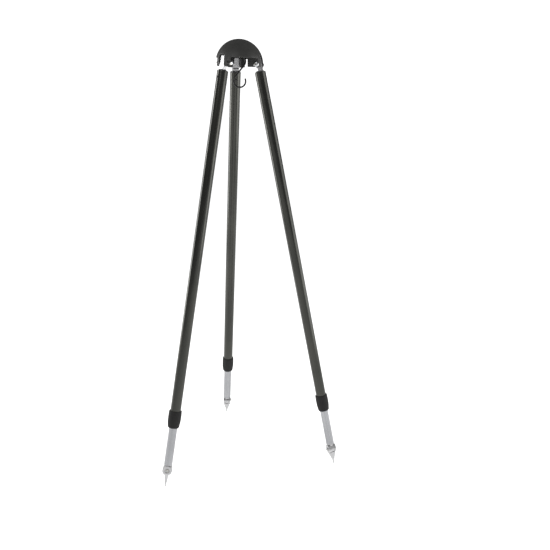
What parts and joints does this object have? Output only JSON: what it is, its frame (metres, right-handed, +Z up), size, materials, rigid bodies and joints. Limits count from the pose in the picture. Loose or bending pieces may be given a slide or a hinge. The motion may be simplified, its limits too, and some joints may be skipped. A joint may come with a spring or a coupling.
{
  "type": "suspension tripod",
  "caption": "Free-standing tripod with a domed slotted head, an S-hook under it and telescopic twist-lock legs on tilting spiked shoes.",
  "frame": {"origin": "middle of the footprint's box on the floor, under the head", "axes": "+Z up along the tripod's axis; the first leg points along +Y, the other two at 120 degrees to it; +X to the right when the first leg is at the back"},
  "size_m": [0.505, 0.442, 1.1985],
  "materials": {
    "black_moulding": "satin black moulding with a fine grain",
    "black_rubber": "matt black rubber grip",
    "dark_anodised": "drawn tube, anodised dark bronze-grey, satin gloss",
    "clear_anodised": "fluted tube, clear anodised, satin",
    "cast_alloy": "die-cast alloy, tumbled",
    "zinc_steel": "bright zinc plate",
    "black_steel": "black plated wire and pin",
    "spike_steel": "hardened steel, ground",
    "nylon": "natural nylon"
  },
  "bodies": {
    "head": {"head_dome": "black_moulding", "crown_cap": "black_rubber", "pivot_bolt_1": "zinc_steel", "pivot_bolt_2": "zinc_steel", "pivot_bolt_3": "zinc_steel", "pivot_washer_1": "black_steel", "pivot_washer_2": "black_steel", "pivot_washer_3": "black_steel", "pivot_nut_1": "black_steel", "pivot_nut_2": "black_steel", "pivot_nut_3": "black_steel"},
    "swivel": {"swivel_eye": "zinc_steel", "swivel_nut": "zinc_steel"},
    "hook": {"s_hook": "black_steel"},
    "leg_1": {"leg_plug_1": "cast_alloy", "pivot_bush_1": "nylon", "plug_pin_1": "black_steel", "upper_tube_1": "dark_anodised", "collar_seat_1": "nylon", "clamp_collet_1": "nylon"},
    "collar_1": {"lock_collar_1": "black_rubber"},
    "guide_1": {"guide_bush_1": "nylon"},
    "lower_1": {"lower_tube_1": "clear_anodised", "tube_end_eye_1": "cast_alloy", "foot_bolt_1": "zinc_steel", "foot_nut_1": "zinc_steel"},
    "shoe_1": {"foot_shoe_1": "cast_alloy", "foot_spike_1": "spike_steel"},
    "leg_2": {"leg_plug_2": "cast_alloy", "pivot_bush_2": "nylon", "plug_pin_2": "black_steel", "upper_tube_2": "dark_anodised", "collar_seat_2": "nylon", "clamp_collet_2": "nylon"},
    "collar_2": {"lock_collar_2": "black_rubber"},
    "guide_2": {"guide_bush_2": "nylon"},
    "lower_2": {"lower_tube_2": "clear_anodised", "tube_end_eye_2": "cast_alloy", "foot_bolt_2": "zinc_steel", "foot_nut_2": "zinc_steel"},
    "shoe_2": {"foot_shoe_2": "cast_alloy", "foot_spike_2": "spike_steel"},
    "leg_3": {"leg_plug_3": "cast_alloy", "pivot_bush_3": "nylon", "plug_pin_3": "black_steel", "upper_tube_3": "dark_anodised", "collar_seat_3": "nylon", "clamp_collet_3": "nylon"},
    "collar_3": {"lock_collar_3": "black_rubber"},
    "guide_3": {"guide_bush_3": "nylon"},
    "lower_3": {"lower_tube_3": "clear_anodised", "tube_end_eye_3": "cast_alloy", "foot_bolt_3": "zinc_steel", "foot_nut_3": "zinc_steel"},
    "shoe_3": {"foot_shoe_3": "cast_alloy", "foot_spike_3": "spike_steel"}
  },
  "joints": [
    {"name": "leg_1_swing", "type": "hinge", "parent": "head", "child": "leg_1", "pos_m": [0.00039, -0.01518, 1.134], "axis": [-1, 0, 0], "range_deg": [0, 11.5]},
    {"name": "collar_1_twist", "type": "hinge", "parent": "leg_1", "child": "collar_1", "pos_m": [0.00039, 0.17744, 0.18842], "axis": [0, 0.1996, -0.9799], "range_deg": [0, 120]},
    {"name": "lower_1_slide", "type": "slide", "parent": "leg_1", "child": "guide_1", "axis": [0, 0.1996, -0.9799], "range_m": [-0.1, 0.7]},
    {"name": "lower_1_turn", "type": "hinge", "parent": "guide_1", "child": "lower_1", "pos_m": [0.00039, 0.10458, 0.54607], "axis": [0, 0.1996, -0.9799], "continuous": true},
    {"name": "shoe_1_tilt", "type": "hinge", "parent": "lower_1", "child": "shoe_1", "pos_m": [0.00039, 0.20594, 0.04849], "axis": [-0.9816, 0.187, 0.0381], "range_deg": [-25, 25]},
    {"name": "leg_2_swing", "type": "hinge", "parent": "head", "child": "leg_2", "pos_m": [-0.04594, -0.09543, 1.134], "axis": [0.5, -0.866, 0], "range_deg": [0, 11.5]},
    {"name": "collar_2_twist", "type": "hinge", "parent": "leg_2", "child": "collar_2", "pos_m": [-0.21276, -0.19174, 0.18842], "axis": [-0.1729, -0.0998, -0.9799], "range_deg": [0, 120]},
    {"name": "lower_2_slide", "type": "slide", "parent": "leg_2", "child": "guide_2", "axis": [-0.1729, -0.0998, -0.9799], "range_m": [-0.1, 0.7]},
    {"name": "lower_2_turn", "type": "hinge", "parent": "guide_2", "child": "lower_2", "pos_m": [-0.14966, -0.15531, 0.54607], "axis": [-0.1729, -0.0998, -0.9799], "continuous": true},
    {"name": "shoe_2_tilt", "type": "hinge", "parent": "lower_2", "child": "shoe_2", "pos_m": [-0.23744, -0.20599, 0.04849], "axis": [-0.1794, -0.975, 0.131], "range_deg": [-25, 25]},
    {"name": "leg_3_swing", "type": "hinge", "parent": "head", "child": "leg_3", "pos_m": [0.04672, -0.09543, 1.134], "axis": [0.5, 0.866, 0], "range_deg": [0, 11.5]},
    {"name": "collar_3_twist", "type": "hinge", "parent": "leg_3", "child": "collar_3", "pos_m": [0.21353, -0.19174, 0.18842], "axis": [0.1729, -0.0998, -0.9799], "range_deg": [0, 120]},
    {"name": "lower_3_slide", "type": "slide", "parent": "leg_3", "child": "guide_3", "axis": [0.1729, -0.0998, -0.9799], "range_m": [-0.1, 0.7]},
    {"name": "lower_3_turn", "type": "hinge", "parent": "guide_3", "child": "lower_3", "pos_m": [0.15044, -0.15531, 0.54607], "axis": [0.1729, -0.0998, -0.9799], "continuous": true},
    {"name": "shoe_3_tilt", "type": "hinge", "parent": "lower_3", "child": "shoe_3", "pos_m": [0.23822, -0.20599, 0.04849], "axis": [0.9741, 0.1643, 0.1551], "range_deg": [-25, 25]},
    {"name": "eye_swivel", "type": "hinge", "parent": "head", "child": "swivel", "pos_m": [0.00039, -0.06868, 1.1755], "axis": [0, 0, 1], "continuous": true},
    {"name": "hook_swing", "type": "hinge", "parent": "swivel", "child": "hook", "pos_m": [0.00039, -0.06868, 1.1535], "axis": [0.1908, 0.9816, 0], "range_deg": [-15, 15]}
  ]
}
